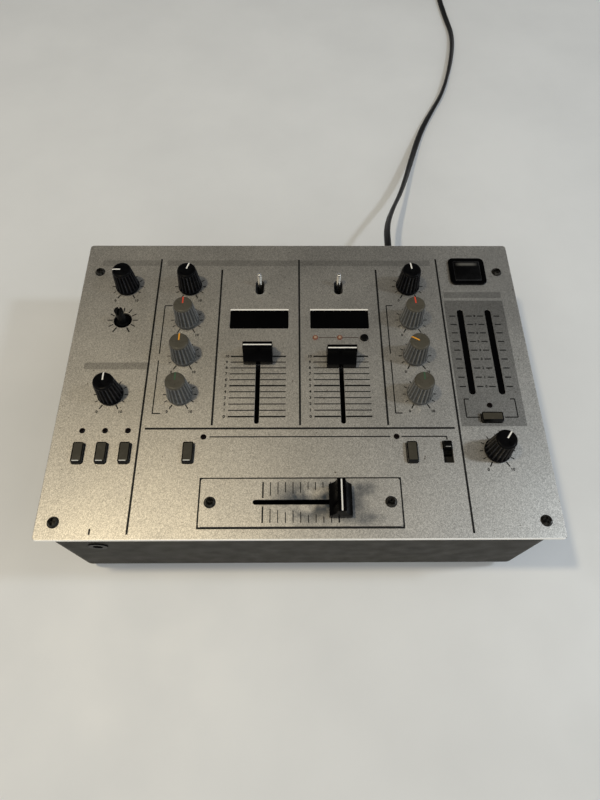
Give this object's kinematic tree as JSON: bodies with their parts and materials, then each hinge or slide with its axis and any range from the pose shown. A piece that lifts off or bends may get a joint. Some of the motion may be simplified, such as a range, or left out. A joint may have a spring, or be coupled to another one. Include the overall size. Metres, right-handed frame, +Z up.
{
  "type": "dj mixer",
  "caption": "Tabletop DJ mixer: silver control panel with fluted knobs, channel faders and a crossfader on a dark sheet-metal case, with sockets, feet and a mains lead.",
  "frame": {"origin": "on the table, under the middle of the top panel", "axes": "+X to the player's right, +Y to the rear where the sockets are, +Z up"},
  "size_m": [0.354, 0.8376, 0.1087],
  "materials": {
    "panel_silver": "fine metallic silver paint",
    "plate_silver": "fine metallic silver paint",
    "case_charcoal": "charcoal powder coat",
    "rear_black": "black powder coat",
    "foot_rubber": "matt moulded rubber",
    "screw_black": "blackened",
    "board_green": "solder mask",
    "brass": "turned",
    "transformer_steel": "varnished laminations",
    "pot_steel": "pressed and plated",
    "switch_plastic": "moulded",
    "window_smoke": "smoked and clear",
    "module_black": "moulded",
    "lamp_amber": "diffused epoxy",
    "socket_black": "moulded",
    "socket_nickel": "nickel plated",
    "cord_black": "soft vinyl",
    "knob_black": "moulded, with a soft feel",
    "knob_grey": "moulded, with a soft feel",
    "shaft_grey": "moulded",
    "cap_black": "moulded",
    "slider_steel": "plated",
    "lever_chrome": "polished",
    "key_grey": "moulded rubber",
    "power_black": "moulded",
    "button_dark": "moulded"
  },
  "bodies": {
    "housing": {"board_standoffs": "brass", "case_screws": "screw_black", "case_shell": "case_charcoal", "channel_fader_frames": "pot_steel", "control_board": "board_green", "control_jacks": "socket_black", "cord_gland": "cord_black", "crossfader_frame": "pot_steel", "crossfader_plate": "plate_silver", "display_modules": "module_black", "display_windows": "window_smoke", "ground_terminal": "socket_nickel", "indicator_lamps": "lamp_amber", "key_switches": "switch_plastic", "main_board": "board_green", "mains_cord_coil": "cord_black", "mains_cord_run": "cord_black", "mains_plug": "cord_black", "meter_windows": "window_smoke", "panel_screws": "screw_black", "phone_jacks": "socket_black", "power_bezel": "power_black", "power_switch_body": "switch_plastic", "power_transformer": "transformer_steel", "rca_jacks": "socket_nickel", "rear_panel": "rear_black", "rotary_pots": "pot_steel", "rubber_feet": "foot_rubber", "selector_switch_body": "switch_plastic", "toggle_switch_bodies": "switch_plastic", "top_panel": "panel_silver"},
    "mic_level_knob": {"mic_level_knob": "knob_black"},
    "mic_eq_shaft": {"mic_eq_shaft": "shaft_grey"},
    "monitor_level_knob": {"monitor_level_knob": "knob_black"},
    "ch1_trim_knob": {"ch1_trim_knob": "knob_black"},
    "ch1_high_knob": {"ch1_high_knob": "knob_grey"},
    "ch1_mid_knob": {"ch1_mid_knob": "knob_grey"},
    "ch1_low_knob": {"ch1_low_knob": "knob_grey"},
    "ch2_trim_knob": {"ch2_trim_knob": "knob_black"},
    "ch2_high_knob": {"ch2_high_knob": "knob_grey"},
    "ch2_mid_knob": {"ch2_mid_knob": "knob_grey"},
    "ch2_low_knob": {"ch2_low_knob": "knob_grey"},
    "master_level_knob": {"master_level_knob": "knob_black"},
    "ch1_fader": {"ch1_fader_knob": "cap_black", "ch1_fader_carriage": "slider_steel"},
    "ch2_fader": {"ch2_fader_knob": "cap_black", "ch2_fader_carriage": "slider_steel"},
    "crossfader": {"crossfader_knob": "cap_black", "crossfader_carriage": "slider_steel"},
    "ch1_toggle_lever": {"ch1_toggle_lever": "lever_chrome"},
    "ch2_toggle_lever": {"ch2_toggle_lever": "lever_chrome"},
    "monitor_key_left": {"monitor_key_left": "key_grey"},
    "monitor_key_middle": {"monitor_key_middle": "key_grey"},
    "monitor_key_right": {"monitor_key_right": "key_grey"},
    "ch1_start_key": {"ch1_start_key": "key_grey"},
    "ch2_start_key": {"ch2_start_key": "key_grey"},
    "meter_select_key": {"meter_select_key": "key_grey"},
    "tempo_mode_button": {"tempo_mode_button": "button_dark"},
    "power_key": {"power_key": "power_black"},
    "selector_slider": {"selector_slider": "button_dark"}
  },
  "joints": [
    {"name": "mic_level_knob_turn", "type": "hinge", "parent": "housing", "child": "mic_level_knob", "pos_m": [-0.1265, 0.074, 0.089], "axis": [0, 0, 1], "range_deg": [-240, 60]},
    {"name": "mic_eq_shaft_turn", "type": "hinge", "parent": "housing", "child": "mic_eq_shaft", "pos_m": [-0.1265, 0.044, 0.089], "axis": [0, 0, 1], "range_deg": [-150, 150]},
    {"name": "monitor_level_knob_turn", "type": "hinge", "parent": "housing", "child": "monitor_level_knob", "pos_m": [-0.1265, -0.016, 0.089], "axis": [0, 0, 1], "range_deg": [-150, 150]},
    {"name": "ch1_trim_knob_turn", "type": "hinge", "parent": "housing", "child": "ch1_trim_knob", "pos_m": [-0.0804, 0.074, 0.089], "axis": [0, 0, 1], "range_deg": [-134, 166]},
    {"name": "ch1_high_knob_turn", "type": "hinge", "parent": "housing", "child": "ch1_high_knob", "pos_m": [-0.0804, 0.044, 0.089], "axis": [0, 0, 1], "range_deg": [-150, 150]},
    {"name": "ch1_mid_knob_turn", "type": "hinge", "parent": "housing", "child": "ch1_mid_knob", "pos_m": [-0.0804, 0.014, 0.089], "axis": [0, 0, 1], "range_deg": [-150, 150]},
    {"name": "ch1_low_knob_turn", "type": "hinge", "parent": "housing", "child": "ch1_low_knob", "pos_m": [-0.0804, -0.016, 0.089], "axis": [0, 0, 1], "range_deg": [-150, 150]},
    {"name": "ch2_trim_knob_turn", "type": "hinge", "parent": "housing", "child": "ch2_trim_knob", "pos_m": [0.0804, 0.074, 0.089], "axis": [0, 0, 1], "range_deg": [-157, 143]},
    {"name": "ch2_high_knob_turn", "type": "hinge", "parent": "housing", "child": "ch2_high_knob", "pos_m": [0.0804, 0.044, 0.089], "axis": [0, 0, 1], "range_deg": [-154, 146]},
    {"name": "ch2_mid_knob_turn", "type": "hinge", "parent": "housing", "child": "ch2_mid_knob", "pos_m": [0.0804, 0.014, 0.089], "axis": [0, 0, 1], "range_deg": [-209, 91]},
    {"name": "ch2_low_knob_turn", "type": "hinge", "parent": "housing", "child": "ch2_low_knob", "pos_m": [0.0804, -0.016, 0.089], "axis": [0, 0, 1], "range_deg": [-150, 150]},
    {"name": "master_level_knob_turn", "type": "hinge", "parent": "housing", "child": "master_level_knob", "pos_m": [0.1265, -0.057, 0.089], "axis": [0, 0, 1], "range_deg": [-114, 186]},
    {"name": "ch1_fader_slide", "type": "slide", "parent": "housing", "child": "ch1_fader", "axis": [0, 1, 0], "range_m": [-0.0467, 0.0003]},
    {"name": "ch2_fader_slide", "type": "slide", "parent": "housing", "child": "ch2_fader", "axis": [0, 1, 0], "range_m": [-0.0442, 0.0028]},
    {"name": "crossfader_slide", "type": "slide", "parent": "housing", "child": "crossfader", "axis": [1, 0, 0], "range_m": [-0.0487, 0.0003]},
    {"name": "ch1_toggle_lever_tilt", "type": "hinge", "parent": "housing", "child": "ch1_toggle_lever", "pos_m": [-0.029, 0.0732, 0.083], "axis": [1, 0, 0], "range_deg": [0, 25]},
    {"name": "ch2_toggle_lever_tilt", "type": "hinge", "parent": "housing", "child": "ch2_toggle_lever", "pos_m": [0.029, 0.0732, 0.083], "axis": [1, 0, 0], "range_deg": [0, 25]},
    {"name": "monitor_key_left_press", "type": "slide", "parent": "housing", "child": "monitor_key_left", "axis": [0, 0, -1], "range_m": [0, 0.0012], "stiffness_N_per_m": 800, "springref_m": -0.0005},
    {"name": "monitor_key_middle_press", "type": "slide", "parent": "housing", "child": "monitor_key_middle", "axis": [0, 0, -1], "range_m": [0, 0.0012], "stiffness_N_per_m": 800, "springref_m": -0.0005},
    {"name": "monitor_key_right_press", "type": "slide", "parent": "housing", "child": "monitor_key_right", "axis": [0, 0, -1], "range_m": [0, 0.0012], "stiffness_N_per_m": 800, "springref_m": -0.0005},
    {"name": "ch1_start_key_press", "type": "slide", "parent": "housing", "child": "ch1_start_key", "axis": [0, 0, -1], "range_m": [0, 0.0012], "stiffness_N_per_m": 800, "springref_m": -0.0005},
    {"name": "ch2_start_key_press", "type": "slide", "parent": "housing", "child": "ch2_start_key", "axis": [0, 0, -1], "range_m": [0, 0.0012], "stiffness_N_per_m": 800, "springref_m": -0.0005},
    {"name": "meter_select_key_press", "type": "slide", "parent": "housing", "child": "meter_select_key", "axis": [0, 0, -1], "range_m": [0, 0.0012], "stiffness_N_per_m": 800, "springref_m": -0.0005},
    {"name": "tempo_mode_button_press", "type": "slide", "parent": "housing", "child": "tempo_mode_button", "axis": [0, 0, -1], "range_m": [0, 0.0012], "stiffness_N_per_m": 600, "springref_m": -0.0005},
    {"name": "power_key_press", "type": "slide", "parent": "housing", "child": "power_key", "axis": [0, 0, -1], "range_m": [0, 0.002], "stiffness_N_per_m": 1000, "springref_m": -0.0005},
    {"name": "selector_slider_slide", "type": "slide", "parent": "housing", "child": "selector_slider", "axis": [0, 1, 0], "range_m": [-0.009, 0]}
  ]
}
